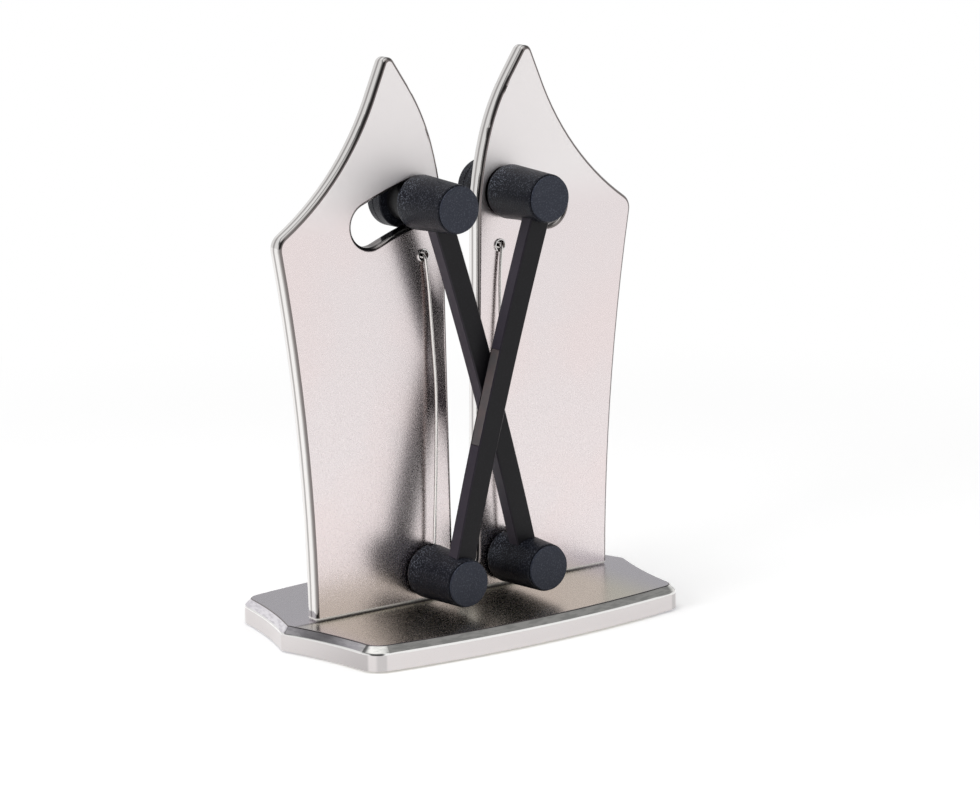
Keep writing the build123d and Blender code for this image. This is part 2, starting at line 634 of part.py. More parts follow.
def hub_blank():
    rear_rim, front_rim = (HUB_REAR_RADIUS, HUB_REAR_Y), (HUB_FRONT_RADIUS, HUB_FRONT_Y)
    points = ((0, HUB_REAR_Y), rear_rim, front_rim, (0, HUB_FRONT_Y))
    rounds = ((rear_rim, HUB_REAR_ROUND), (front_rim, HUB_FRONT_ROUND))
    return turned(points, rounds) - rod(RECESS_RADIUS, HUB_FRONT_Y - OVERRUN, RECESS_FLOOR_Y)


def leg_window(facing, is_short):
    """Space that a spring leg needs in the hub while the hub swings past it."""
    swing = math.radians(SWING_ANGLE)
    half = WIRE_RADIUS + RUN_GAP + HUB_REAR_RADIUS * math.sin(swing / 2)
    y = SHORT_LEG_Y if is_short else LEG_Y
    reach = COIL_RADIUS + SHORT_LEG + COIL_BEND_RADIUS if is_short else HUB_REAR_RADIUS + OVERRUN
    room = WIRE_RADIUS + RUN_GAP
    window = block((-half, half), (y - room, y + room), (POST_RADIUS + RUN_GAP, reach))
    tilt = LEG_TILT - ARM_LEAN - SWING_ANGLE / 2
    return Rot(Y=(tilt + (180 if is_short else 0)) * -facing) * window


def make_pivot_hub(facing, is_front):
    hub = hub_blank()
    hub -= tube(CAVITY_RADIUS, POST_RADIUS, CAVITY_FRONT_Y, HUB_REAR_Y + OVERRUN)
    ledge = CAVITY_RADIUS + SPRING_COVER_LEDGE
    hub -= rod(ledge, CAVITY_REAR_Y, HUB_REAR_Y + OVERRUN)
    hub -= rod(BUSH_RADIUS + FIT_GAP, bar_rear(is_front), HUB_REAR_Y + OVERRUN)
    hub -= rod(BOLT_RADIUS + RUN_GAP, RECESS_FLOOR_Y - OVERRUN, HUB_REAR_Y + OVERRUN)
    hub -= leg_window(facing, False)
    hub -= leg_window(facing, True)
    return hub - bar_room(facing, is_front, FIT_GAP, -BAR_END - FIT_GAP, HUB_REAR_RADIUS + OVERRUN)


def make_guide_hub(facing, is_front):
    hub = hub_blank() - rod(BOLT_RADIUS + FIT_GAP, RECESS_FLOOR_Y - OVERRUN, HUB_REAR_Y + OVERRUN)
    low, high = ARM_REACH - HUB_REAR_RADIUS - OVERRUN, ARM_REACH + BAR_END + FIT_GAP
    return hub - Pos(0, 0, -ARM_REACH) * bar_room(facing, is_front, FIT_GAP, low, high)


def make_hub_cap():
    """Round end cap with a ring that plugs into the hub's recess."""
    rear, front = HUB_FRONT_Y - CAP_SEAM, HUB_FRONT_Y - CAP_THICKNESS
    rim = HUB_FRONT_RADIUS - CAP_STEP
    disc = turned(((0, rear), (rim, rear), (rim, front), (0, front)), (((rim, front), CAP_EDGE_ROUND),))
    ring_radius = RECESS_RADIUS - FIT_GAP
    return disc + tube(ring_radius, ring_radius - CAP_RING_WALL, HUB_FRONT_Y + CAP_RING_LENGTH, rear)


def make_spring_cover():
    radius = CAVITY_RADIUS + SPRING_COVER_LEDGE - FIT_GAP
    return tube(radius, BUSH_RADIUS + FIT_GAP, CAVITY_REAR_Y, HUB_REAR_Y)


def make_pivot_bush(is_front):
    return tube(BUSH_RADIUS, BOLT_RADIUS + FIT_GAP, bar_rear(is_front) + FIT_GAP, HUB_REAR_Y)


def strip_middle():
    """Height up the bar at which the lines through the two arms' axes cross."""
    return PIVOT_HALF_SPACING / math.sin(math.radians(ARM_LEAN))


def strip_room(facing, is_front, gap):
    """Space of the hard strip in the bar's side, grown by a gap."""
    rear = bar_rear(is_front) - STRIP_FLANGE + gap
    front = bar_rear(is_front) - BAR_DEPTH + STRIP_FLANGE - gap
    side = BAR_WIDTH / 2 - STRIP_SINK
    deep = side - STRIP_THICKNESS - gap
    half = STRIP_LENGTH / 2 + gap
    middle = strip_middle()
    out = side + OVERRUN if gap else side
    return arched(facing, deep, out, (front, rear), (middle - half, middle + half))


def make_arm_bar(facing, is_front):
    bar = bar_room(facing, is_front, 0, -BAR_END, ARM_REACH + BAR_END)
    bar = chamfer([e for e in bar.edges() if e.length > ARM_REACH], BAR_EDGE_BEVEL)
    near, far = bar_rear(is_front) + OVERRUN, bar_rear(is_front) - BAR_DEPTH - OVERRUN
    bar -= rod(BOLT_RADIUS + RUN_GAP, near, far)
    bar -= rod(BOLT_RADIUS + FIT_GAP, near, far, 0, ARM_REACH)
    return bar - strip_room(facing, is_front, FIT_GAP)


def make_strip(facing, is_front):
    strip = strip_room(facing, is_front, 0)
    return chamfer(strip.edges(), STRIP_EDGE_BEVEL)


def make_slot_sleeve():
    return tube(SLOT_HALF_WIDTH - SLEEVE_GAP, BOLT_RADIUS + FIT_GAP, HUB_REAR_Y, KNOB_FRONT_Y)


def make_rear_knob():
    """Shallow cup behind the plate, open at the back for its nut."""
    points = ((0, KNOB_FRONT_Y), (KNOB_RADIUS, KNOB_FRONT_Y), (KNOB_RADIUS, KNOB_SEAM_Y), (0, KNOB_SEAM_Y))
    knob = turned(points, ((points[1], KNOB_FRONT_ROUND),))
    knob -= rod(KNOB_RADIUS - KNOB_WALL, KNOB_FRONT_Y + KNOB_WEB, KNOB_SEAM_Y + OVERRUN)
    return knob - rod(BOLT_RADIUS + FIT_GAP, KNOB_FRONT_Y - OVERRUN, KNOB_SEAM_Y + OVERRUN)


def make_rear_knob_lid():
    """Cap that plugs into the knob and leaves a fine seam."""
    points = ((0, LID_FRONT_Y), (KNOB_RADIUS, LID_FRONT_Y), (KNOB_RADIUS, LID_REAR_Y), (0, LID_REAR_Y))
    lid = turned(points, ((points[2], KNOB_LID_ROUND),))
    spigot = KNOB_RADIUS - KNOB_WALL - FIT_GAP
    lid += rod(spigot, KNOB_SEAM_Y - KNOB_SPIGOT_LENGTH, LID_FRONT_Y)
    room = spigot - KNOB_SPIGOT_WALL
    return lid - rod(room, KNOB_SEAM_Y - KNOB_SPIGOT_LENGTH - OVERRUN, LID_REAR_Y - KNOB_LID_WALL)


def place_arm(piece, facing):
    """Lean an upright arm piece and set it on its pivot."""
    return Pos(facing * PIVOT_HALF_SPACING, 0, PIVOT_Z) * Rot(Y=-facing * ARM_LEAN) * piece


def arm_pieces(prefix, facing, is_front):
    """Nodes of one arm. It pivots on the side that it faces and leans to the other."""
    guide = Pos(0, 0, ARM_REACH)
    guide_end = KNOB_NUT_Y + NUT_THICKNESS + BOLT_THREAD_STICKOUT
    upright = {
        "bar": make_arm_bar(facing, is_front),
        "carbide_strip": make_strip(facing, is_front),
        "pivot_hub": make_pivot_hub(facing, is_front),
        "pivot_hub_cap": make_hub_cap(),
        "pivot_bush": make_pivot_bush(is_front),
        "spring_cover": make_spring_cover(),
        "guide_hub": guide * make_guide_hub(facing, is_front),
        "guide_hub_cap": guide * make_hub_cap(),
        "guide_bolt": guide * Pos(0, RUN_GAP, 0) * bolt(guide_end - RUN_GAP),
        "slot_sleeve": guide * make_slot_sleeve(),
        "rear_knob": guide * make_rear_knob(),
        "rear_knob_lid": guide * make_rear_knob_lid(),
        "guide_washer": guide * washer(KNOB_FRONT_Y + KNOB_WEB),
        "guide_nut": guide * nut(KNOB_NUT_Y),
    }
    return {f"{prefix}_{name}": place_arm(piece, facing) for name, piece in upright.items()}


def stand_pieces():
    pivot_end = PIVOT_NUT_Y + NUT_THICKNESS + BOLT_THREAD_STICKOUT
    cover, eyelet, spring = make_pivot_cover(), make_eyelet(), make_left_spring(spring_path())
    pieces = {
        "base_shell": make_base_shell(),
        "base_weight": make_base_weight(),
        "bottom_cover": make_bottom_cover(),
        "non_slip_pad": make_non_slip_pad(),
        "bottom_cover_screws": make_bottom_cover_screws(),
        "face_plate": make_face_plate(),
        "plate_screws": make_plate_screws(),
        "plate_screw_washers": make_plate_screw_washers(),
        "pivot_nuts": at_pivots(nut(PIVOT_NUT_Y)),
        "pivot_nut_washers": at_pivots(washer(PLATE_BACK_Y)),
        "pivot_thrust_washers": at_pivots(washer(PLATE_FRONT_Y - WASHER_THICKNESS)),
        "left_wire_eyelet": eyelet,
        "right_wire_eyelet": mirror(eyelet, Plane.YZ),
        "left_spring": spring,
        "right_spring": mirror(spring, Plane.YZ),
    }
    for side, sign in (("left", -1), ("right", 1)):
        pivot = Pos(sign * PIVOT_HALF_SPACING, 0, PIVOT_Z)
        pieces[f"{side}_pivot_bolt"] = pivot * bolt(pivot_end)
        pieces[f"{side}_pivot_cover"] = pivot * cover
    return pieces


def main():
    os.makedirs("parts", exist_ok=True)
    pieces = stand_pieces()
    pieces.update(arm_pieces("front_arm", -1, True))
    pieces.update(arm_pieces("rear_arm", 1, False))
    for name, piece in pieces.items():
        export_step(piece, f"parts/{name}.step")
    print("nodes", len(pieces), "arm lean", round(ARM_LEAN, 2), "arm reach", round(ARM_REACH, 2))
    path, points = spring_path(), leg_points()
    print("spring wire length", round(path.length, 1), "least gap to itself", round(spring_gap(path), 3))
    print("spring leg bend radii", [round(radius, 1) for radius in leg_radii(points)])


main()
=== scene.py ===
# %% [markdown]
# # A countertop knife sharpener
# A notched upright plate stands on a low, heavy base. Two sprung arms cross in front of it, and are
# pushed apart in use. Every shape arrives ready made, in metres, from the construction model, and no
# shape is changed or added here except a floor. This notebook gives each piece its finish, and sets
# up the camera, the floor and the light.

# %% Load the construction model
import json
import math

import bpy
from mathutils import Matrix, Vector

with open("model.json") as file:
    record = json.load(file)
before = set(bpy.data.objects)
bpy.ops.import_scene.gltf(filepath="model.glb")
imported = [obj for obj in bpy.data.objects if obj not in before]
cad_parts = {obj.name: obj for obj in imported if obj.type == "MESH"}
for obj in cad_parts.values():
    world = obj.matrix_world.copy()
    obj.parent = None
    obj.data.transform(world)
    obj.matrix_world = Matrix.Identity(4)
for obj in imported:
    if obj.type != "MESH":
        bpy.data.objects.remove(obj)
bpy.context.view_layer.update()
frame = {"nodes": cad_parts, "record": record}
MM = 0.001


# %% [markdown]
# ## Shader sums in Python
# A finish is a sum of masks and noises. Wiring each Math node by hand hides that sum, so a small
# class wraps one output socket and lets Python's own signs add the nodes: `0.3 + grain * 0.1`.
# Colours never go through Math, which would turn them grey: they are mixed.


# %% A wrapped socket
class Link:
    """One output socket. Python's signs on it add Math nodes."""

    def __init__(self, bench, socket):
        self.bench = bench
        self.socket = socket

    def __add__(self, other):
        return self.bench.maths("ADD", self, other)

    def __sub__(self, other):
        return self.bench.maths("SUBTRACT", self, other)

    def __mul__(self, other):
        return self.bench.maths("MULTIPLY", self, other)

    def __rsub__(self, other):
        return self.bench.maths("SUBTRACT", other, self)

    __radd__ = __add__
    __rmul__ = __mul__


print("signs on a socket: +, - and *, from either side")

# %% The bench that adds nodes
MIX_SHARE = 0  # places of the colour sockets on a Mix node
MIX_FIRST = 6
MIX_SECOND = 7
MIX_RESULT = 2


class Bench:
    """A node tree, emptied, with one method that adds any node to it."""

    def __init__(self, tree):
        self.tree = tree
        tree.nodes.clear()

    def node(self, kind, settings, sockets, out=0):
        """Add any node: its settings first, then the values or links of its sockets."""
        made = self.tree.nodes.new(kind)
        for name, value in settings.items():
            setattr(made, name, value)
        for key, value in sockets.items():
            if isinstance(value, Link):
                self.tree.links.new(value.socket, made.inputs[key])
            else:
                made.inputs[key].default_value = value
        return Link(self, made.outputs[out]) if made.outputs else None

    def maths(self, operation, first, second=0.0, clamp=False):
        """One Math node. An operation on a single number leaves out the second."""
        settings = {"operation": operation, "use_clamp": clamp}
        return self.node("ShaderNodeMath", settings, {0: first, 1: second})

    def vector_maths(self, operation, sockets, out=0):
        return self.node("ShaderNodeVectorMath", {"operation": operation}, sockets, out)

    def step(self, value, low, high):
        """A mask that rises smoothly from 0 at low to 1 at high."""
        sockets = {"Value": value, "From Min": low, "From Max": high}
        return self.node("ShaderNodeMapRange", {"interpolation_type": "SMOOTHSTEP"}, sockets)

    def band(self, value, low, high, soft):
        """A mask that is 1 between low and high, with soft shoulders outside them."""
        return self.step(value, low - soft, low) - self.step(value, high, high + soft)

    def mix(self, share, first, second):
        """Colour that goes from first to second."""
        sockets = {MIX_SHARE: share, MIX_FIRST: first, MIX_SECOND: second}
        return self.node("ShaderNodeMix", {"data_type": "RGBA"}, sockets, MIX_RESULT)


print("a bench adds:", [name for name in vars(Bench) if not name.startswith("_")])

# %% [markdown]
# ## Asking a surface where it is
# Wear, seams and polish lie at places on the real object, and on faces that look a certain way. An
# unwrapped picture could hold them, but it has to be painted and it blurs close up. So each finish
# asks the surface itself: where the point lies on the resting object, and which way it faces. Both
# stay with the piece when it moves, and neither depends on where the camera stands.

# %% The bench of a finish
EVEN = (1, 1, 1)  # a texture that isn't stretched along any axis


class Finish(Bench):
    """The bench of one new material, which knows places, textures and facings."""

    def __init__(self, name):
        self.material = bpy.data.materials.new(name)
        self.material.use_nodes = True
        super().__init__(self.material.node_tree)

    def place(self, stretch=EVEN):
        """The surface point in millimetres of the resting object, stretched along its axes."""
        point = self.node("ShaderNodeTexCoord", {}, {}, out="Object")
        scale = tuple(1 / (MM * s) for s in stretch)
        return self.vector_maths("MULTIPLY", {0: point, 1: scale})

    def along(self, axis):
        """Millimetres along one axis of the resting object."""
        return self.node("ShaderNodeSeparateXYZ", {}, {0: self.place()}, out=axis)

    def noise(self, size, detail=2.0, stretch=EVEN):
        """Cloudy noise between about 0.3 and 0.7, whose spots are size millimetres wide."""
        sockets = {"Vector": self.place(stretch), "Scale": 1 / size, "Detail": detail}
        return self.node("ShaderNodeTexNoise", {}, sockets)

    def normal_part(self, axis):
        """The surface normal's share along an axis of the resting object, from -1 to 1."""
        normal = self.node("ShaderNodeTexCoord", {}, {}, out="Normal")
        return self.node("ShaderNodeSeparateXYZ", {}, {0: normal}, out=axis)

    def facing(self, axis):
        """How squarely the surface faces along an axis, either way: 1 is square on."""
        return self.maths("ABSOLUTE", self.normal_part(axis))

    def bump(self, height, depth, strength=1.0):
        """Shading normal of a relief whose height of 1 is depth millimetres."""
        sockets = {"Height": height, "Distance": depth * MM, "Strength": strength}
        return self.node("ShaderNodeBump", {}, sockets)

    def surface(self, **sockets):
        """Principled shader, with its sockets named in words joined by underscores."""
        named = {name.replace("_", " "): value for name, value in sockets.items()}
        shader = self.node("ShaderNodeBsdfPrincipled", {}, named)
        self.node("ShaderNodeOutputMaterial", {}, {"Surface": shader})


print("a finish also adds:", [name for name in vars(Finish) if not name.startswith("_")])

# %% [markdown]
# ## The camera
# The picture was taken from the front left, a little above the plate's middle, with a long lens.
# The place and angles below come from matching the plate's corners and the base's corners. A camera
# could be aimed by a constraint instead. Working out its three axes as vectors gives the roll a
# line of its own: it is under one degree, but the plate's long edges show it.

# %% Camera
CAMERA_PLACE = Vector((-528.8, -742.4, 256.8)) * MM
CAMERA_AZIMUTH = math.radians(-36.015)
CAMERA_ELEVATION = math.radians(11.951)
CAMERA_ROLL = math.radians(-0.680)
CAMERA_LENS = 122.45  # focal length in millimetres
CAMERA_NEAREST = 10 * MM
UPRIGHT = Vector((0, 0, 1))


def make_camera():
    """The photograph's camera, turned by its azimuth, elevation and roll."""
    lens = bpy.data.cameras.new("camera")
    lens.lens = CAMERA_LENS
    lens.clip_start = CAMERA_NEAREST
    camera = bpy.data.objects.new("camera", lens)
    flat = math.cos(CAMERA_ELEVATION)
    back_x = math.sin(CAMERA_AZIMUTH) * flat
    back_y = -math.cos(CAMERA_AZIMUTH) * flat
    back = Vector((back_x, back_y, math.sin(CAMERA_ELEVATION)))
    right = (-back).cross(UPRIGHT).normalized()
    up = back.cross(right)
    turned_right = right * math.cos(CAMERA_ROLL) + up * math.sin(CAMERA_ROLL)
    turned_up = up * math.cos(CAMERA_ROLL) - right * math.sin(CAMERA_ROLL)
    turn = Matrix((turned_right, turned_up, back)).transposed()
    camera.matrix_world = Matrix.Translation(CAMERA_PLACE) @ turn.to_4x4()
    bpy.context.scene.collection.objects.link(camera)
    bpy.context.scene.camera = camera


make_camera()
print("camera", [round(v, 3) for v in CAMERA_PLACE], "lens", CAMERA_LENS)

# %% [markdown]
# ## Satin and polished nickel
# The plate and the base are one finish on the real thing: finely blasted flat faces under warm
# nickel plating, with the rounded rims and bevels polished bright. Two materials and a painted mask
# could show that. Here one function does both, because the way that a surface faces tells flat from
# rim, so the mask follows every edge by itself. Where flat meets rim a thin dark line is painted
# round, which outlines every face: painted shade for the dark reflections along the rims.

# %% Values of the nickel
# Painted shade: the dark colour of the painted lines on the rims and of the painted shadow at the plate's
# foot
NICKEL_PAINTED_SHADE = (0.095, 0.076, 0.072, 1)
FLAT_FACING = (0.90, 0.985)  # how squarely a surface faces: from rim to flat face
SHADE_LINE_STRENGTH = 0.86
CLOUD_SIZE = 46  # sizes of the textures' spots in millimetres
CLOUD_EDGES = (0.40, 0.60)
GRAIN_SIZE = 0.44
STREAK_SIZE = 0.5
STREAK_STRETCH = (1, 1, 60)
RIM_ROUGH = 0.09
SATIN_ROUGH = 0.12  # what flat faces add to it, and below it what each texture adds there
GRAIN_ROUGH = 0.07
STREAK_ROUGH = 0.03
CLOUD_ROUGH = 0.02
HORN_HEIGHT = (112, 127)  # heights in millimetres over which the plate turns into its coarser horns
BLAST_DEPTH = 0.015  # depth of the blasted grain in millimetres
BLAST_STRENGTH = 0.8
PURE_METAL = 1.0
print("grain", GRAIN_SIZE, "mm wide and", BLAST_DEPTH, "mm deep, clouds", CLOUD_SIZE, "mm wide")


# %% Nickel
def nickel(name, flat_axis, tones, shade_line_facing, marks, horn_rough=0.0):
    """Satin where the surface faces along flat_axis, polished elsewhere, with the piece's own marks."""
    bench = Finish(name)
    facing = bench.facing(flat_axis)
    flat = bench.step(facing, *FLAT_FACING)
    clouds = bench.noise(CLOUD_SIZE, detail=3)
    grain = bench.noise(GRAIN_SIZE, detail=1)
    streaks = bench.noise(STREAK_SIZE, stretch=STREAK_STRETCH)
    satin = bench.mix(bench.step(clouds, *CLOUD_EDGES), tones["warm"], tones["cool"])
    clean = bench.mix(flat, tones["rim"], satin)
    # Painted shade: a dark line where the flat face turns into the rim
    rise_low, rise_high, fall_low, fall_high = shade_line_facing
    line = bench.step(facing, rise_low, rise_high) - bench.step(facing, fall_low, fall_high)
    color, metal = marks(bench, bench.mix(line * SHADE_LINE_STRENGTH, clean, NICKEL_PAINTED_SHADE))
    blast = bench.step(bench.along("Z"), *HORN_HEIGHT) * horn_rough
    satin_rough = SATIN_ROUGH + blast + grain * GRAIN_ROUGH + streaks * STREAK_ROUGH + clouds * CLOUD_ROUGH
    relief = bench.bump(grain * flat, BLAST_DEPTH, BLAST_STRENGTH)
    rough = RIM_ROUGH + flat * satin_rough
    bench.surface(Base_Color=color, Metallic=metal, Roughness=rough, Normal=relief)
    return bench.material


print("a nickel face is fully flat within", round(math.degrees(math.acos(FLAT_FACING[1]))), "degrees")

# %% [markdown]
# ## Painted light and shade on the plate
# A grey line is painted along the middle of the rim, as painted reflection. The walls of the two
# curved slots are painted dark, as painted shade, the horns are painted paler, as painted light, and
# a cream band along the foot is a painted highlight. Thin pieces could stand for some of these. They
# have no height of their own, though, so they are bands by place, in millimetres of the resting object.

# %% Values of the plate's marks
WALL_FACING = (0.15, 0.45)  # the rim and the walls of openings face the front less than this
RIM_MIDDLE_SHADE = (-0.1, 0.4, 0.3)  # painted reflection along the rim's middle: from, to, and the softness of its edges
RIM_MIDDLE_SHADE_STRENGTH = 0.55
SLOT_END = (15.2, 119.7)  # middle of each curved slot's inner end: sideways, and in height
SLOT_END_REACH = (6.8, 7.4)
SLOT_SIDE = (15.5, 38.0, 0.5)  # where the rest of the slots lies: sideways, and in height
SLOT_HEIGHT = (104.0, 129.0, 1.0)
# Painted shade on the walls of the curved slots
SLOT_PAINTED_SHADE = (0.10, 0.085, 0.085, 1)
SLOT_SHADE_STRENGTH = 0.85
# Painted light: the horns' faces are painted paler than the rest of the plate
HORN_PAINTED_LIGHT = (0.905, 0.872, 0.870, 1)
HORN_FACING = (0.985, 0.995)
HORN_ROUGH = 0.26
FOOT_PAINTED_HIGHLIGHT = (0.97, 0.94, 0.90, 1)
FOOT_TOP = (8.0, 8.3)  # heights in millimetres between which the painted highlight fades out
FOOT_HIGHLIGHT_DULLING = 0.9  # share of the metal's look that the painted highlight takes away
print("slot ends at", SLOT_END, "bead up to", FOOT_TOP, "mm")


# %% Plate nickel
def worn_slots(bench, height, wall):
    """Painted shade on the slots' walls: a circle round each inner end, and a box over the rest."""
    beside = bench.maths("ABSOLUTE", bench.along("X"))
    across = beside - SLOT_END[0]
    up = height - SLOT_END[1]
    slot_end = 1 - bench.step(bench.maths("SQRT", across * across + up * up), *SLOT_END_REACH)
    slot_run = bench.band(beside, *SLOT_SIDE) * bench.band(height, *SLOT_HEIGHT)
    return bench.maths("MAXIMUM", slot_end, slot_run) * wall


def plate_painted_light(bench, color):
    """Colour with the plate's painted light and shade on it, and how metallic it is left."""
    height = bench.along("Z")
    wall = 1 - bench.step(bench.facing("Y"), *WALL_FACING)
    # Painted reflection: a grey line along the middle of the plate's rim
    rim_middle_shade = bench.band(bench.along("Y"), *RIM_MIDDLE_SHADE) * wall
    rim_shaded = bench.mix(rim_middle_shade * RIM_MIDDLE_SHADE_STRENGTH, color, NICKEL_PAINTED_SHADE)
    # Painted shade on the curved slots' walls
    worn = bench.mix(worn_slots(bench, height, wall) * SLOT_SHADE_STRENGTH, rim_shaded, SLOT_PAINTED_SHADE)
    # Painted light: the horns' front faces are painted paler
    horn = bench.step(height, *HORN_HEIGHT) * bench.step(bench.facing("Y"), *HORN_FACING)
    pale = bench.mix(horn, worn, HORN_PAINTED_LIGHT)
    # Painted highlight: a cream, less metallic band along the plate's foot
    foot_highlight = 1 - bench.step(height, *FOOT_TOP)
    return bench.mix(foot_highlight, pale, FOOT_PAINTED_HIGHLIGHT), 1 - foot_highlight * FOOT_HIGHLIGHT_DULLING


PLATE_TONES = {
    "warm": (0.805, 0.715, 0.712, 1),
    "cool": (0.790, 0.725, 0.728, 1),
    "rim": (0.860, 0.840, 0.825, 1),
}
# How squarely the surface faces out where the painted dark line starts, is full, fades, and ends
PLATE_SHADE_LINE = (0.10, 0.86, 0.970, 0.992)
plate_nickel = nickel("plate_nickel", "Y", PLATE_TONES, PLATE_SHADE_LINE, plate_painted_light, HORN_ROUGH)
print("plate nickel has", len(plate_nickel.node_tree.nodes), "nodes")

# %% [markdown]
# ## Painted light and shade on the base
# The base's bevel is mottled in light and dark blotches, whose tones are painted reflection: lavender
# on the sides and neutral at the front. The bright lip below it is a painted highlight. The walls of
# its corners and the front halves of its two sides are painted duller, as painted shade. Its top is
# painted warmer in front of the plate, as a painted reflection of the plate, than behind it and at its
# ends, and a brown band of painted shadow runs along the plate's foot. A painted map could hold all
# this, but how far a face looks up, and where it lies, already tell bevel, lip, wall and top apart.

# %% Values of the base's rim and walls
BLOTCH_SIZE = 0.8  # millimetres, before the stretch that draws the blotches out along the bevel
BLOTCH_STRETCH = (5, 5, 1)
BLOTCH_EDGES = (0.40, 0.62)
BEVEL_REFLECTION_TONES = ((0.890, 0.860, 0.900, 1), (0.720, 0.690, 0.735, 1))  # light and dark blotches, in painted reflection tones
BEVEL_FRONT_REFLECTION_TONES = ((0.860, 0.850, 0.820, 1), (0.680, 0.680, 0.655, 1))
BEVEL_FRONT = (25.0, 32.0)  # millimetres in front of the middle where the front's tones take over
BEVEL_FACING = (0.62, 0.78, 0.06)  # how far a face looks up: from, to, and softness
LIP_FACING = (0.22, 0.52, 0.12)
# Painted highlight on the lip below the bevel
LIP_PAINTED_HIGHLIGHT = (0.960, 0.950, 0.935, 1)
UPRIGHT_FACING = (0.1, 0.2)  # a wall looks up less than this
CORNER_FACING = (0.35, 0.60, 0.12)  # how far a wall looks sideways: from, to, and softness
# Painted shade on the corner walls and on the front halves of the two sides
CORNER_PAINTED_SHADE = (0.38, 0.37, 0.37, 1)
CORNER_STRENGTH = 0.5
SIDE_FACING = (0.86, 0.92)
SIDE_PAINTED_SHADE = (0.470, 0.445, 0.445, 1)
SIDE_SHADE_FRONT = (-4.0, 40.0)  # millimetres in front of the middle over which the sides' painted shade grows
print("front tones from", BEVEL_FRONT[0], "mm, duller sides up to", SIDE_SHADE_FRONT[1], "mm in front")


# %% Rim and walls of the base
def rim_painted_light(bench, color, upward, front):
    """A mottled bevel in painted reflection tones, with a painted highlight on the lip below it."""
    blotches = bench.step(bench.noise(BLOTCH_SIZE, detail=3, stretch=BLOTCH_STRETCH), *BLOTCH_EDGES)
    # Painted reflection: lavender tones on the sides' bevel, neutral ones at the front
    side_mottled = bench.mix(blotches, *BEVEL_REFLECTION_TONES)
    front_mottled = bench.mix(blotches, *BEVEL_FRONT_REFLECTION_TONES)
    mottled = bench.mix(bench.step(front, *BEVEL_FRONT), side_mottled, front_mottled)
    bevelled = bench.mix(bench.band(upward, *BEVEL_FACING), color, mottled)
    # Painted highlight: a bright band along the lip below the bevel
    return bench.mix(bench.band(upward, *LIP_FACING), bevelled, LIP_PAINTED_HIGHLIGHT)


def wall_painted_shade(bench, color, upward, front):
    """Painted shade on the corner walls and on the front halves of the two sides."""
    sideways = bench.facing("X")
    wall = 1 - bench.step(upward, *UPRIGHT_FACING)
    # Painted shade on the corner walls, then on the sides' front halves
    corner = bench.band(sideways, *CORNER_FACING) * wall
    cornered = bench.mix(corner * CORNER_STRENGTH, color, CORNER_PAINTED_SHADE)
    side_shade = bench.step(sideways, *SIDE_FACING) * bench.step(front, *SIDE_SHADE_FRONT)
    return bench.mix(side_shade * wall, cornered, SIDE_PAINTED_SHADE)


steepest, levelest = (round(math.degrees(math.acos(v))) for v in BEVEL_FACING[:2])
print("bevel is what tilts", levelest, "to", steepest, "degrees from level")

# %% Top of the base, and its nickel
TOP_FACING = (0.985, 0.998)
FIELD_PAINTED_REFLECTION = (0.710, 0.665, 0.565, 1)
FIELD_FRONT = (2.2, 3.2)  # millimetres in front of the plate's middle where its painted reflection begins
FIELD_ACROSS = (-46.0, 32.0, 18.0)  # from left to right, and the softness of its ends
# Painted shadow: millimetres in front of the plate's middle where the brown band rises and ends
FOOT_SHADOW_BACK = (1.5, 2.0)
FOOT_SHADOW_FRONT = (2.7, 3.8)
FOOT_SHADOW_STRENGTH = 0.9


def top_painted_light(bench, color, upward, front):
    """Painted reflection of the plate in front of it, and painted shadow in brown along its foot."""
    inside = bench.band(bench.along("X"), *FIELD_ACROSS)
    top = bench.step(upward, *TOP_FACING)
    # Painted reflection of the plate on the top in front of it, and painted shadow along the plate's foot
    plate_reflection = bench.step(front, *FIELD_FRONT) * inside * top
    foot_shadow = bench.step(front, *FOOT_SHADOW_BACK) * (1 - bench.step(front, *FOOT_SHADOW_FRONT)) * inside * top
    warm = bench.mix(plate_reflection, color, FIELD_PAINTED_REFLECTION)
    return bench.mix(foot_shadow * FOOT_SHADOW_STRENGTH, warm, NICKEL_PAINTED_SHADE)


def base_painted_light(bench, color):
    """Colour with all the base's painted light and shade on it, and how metallic it is left: fully."""
    upward = bench.facing("Z")
    front = 0 - bench.along("Y")
    for marks in (rim_painted_light, wall_painted_shade, top_painted_light):
        color = marks(bench, color, upward, front)
    return color, PURE_METAL


BASE_TONES = {
    "warm": (0.630, 0.590, 0.645, 1),
    "cool": (0.600, 0.575, 0.620, 1),
    "rim": (0.678, 0.643, 0.638, 1),
}
# How squarely the surface faces up where the painted dark line starts, is full, fades, and ends
BASE_SHADE_LINE = (0.72, 0.80, 0.950, 0.990)
base_nickel = nickel("base_nickel", "Z", BASE_TONES, BASE_SHADE_LINE, base_painted_light)
print("base nickel has", len(base_nickel.node_tree.nodes), "nodes")

# %% [markdown]
# ## Moulded plastics
# The hubs, knobs and caps are black plastic from a spark-eroded mould: a fine grain that breaks the
# highlight into specks. As geometry it would take millions of faces, so noise in the bump does it,
# because it bends the light as the real grain does. The grain's tips also get a painted highlight,
# most of all where the surface looks up and on each hub's end by the plate. A second, coarser noise
# varies the gloss.

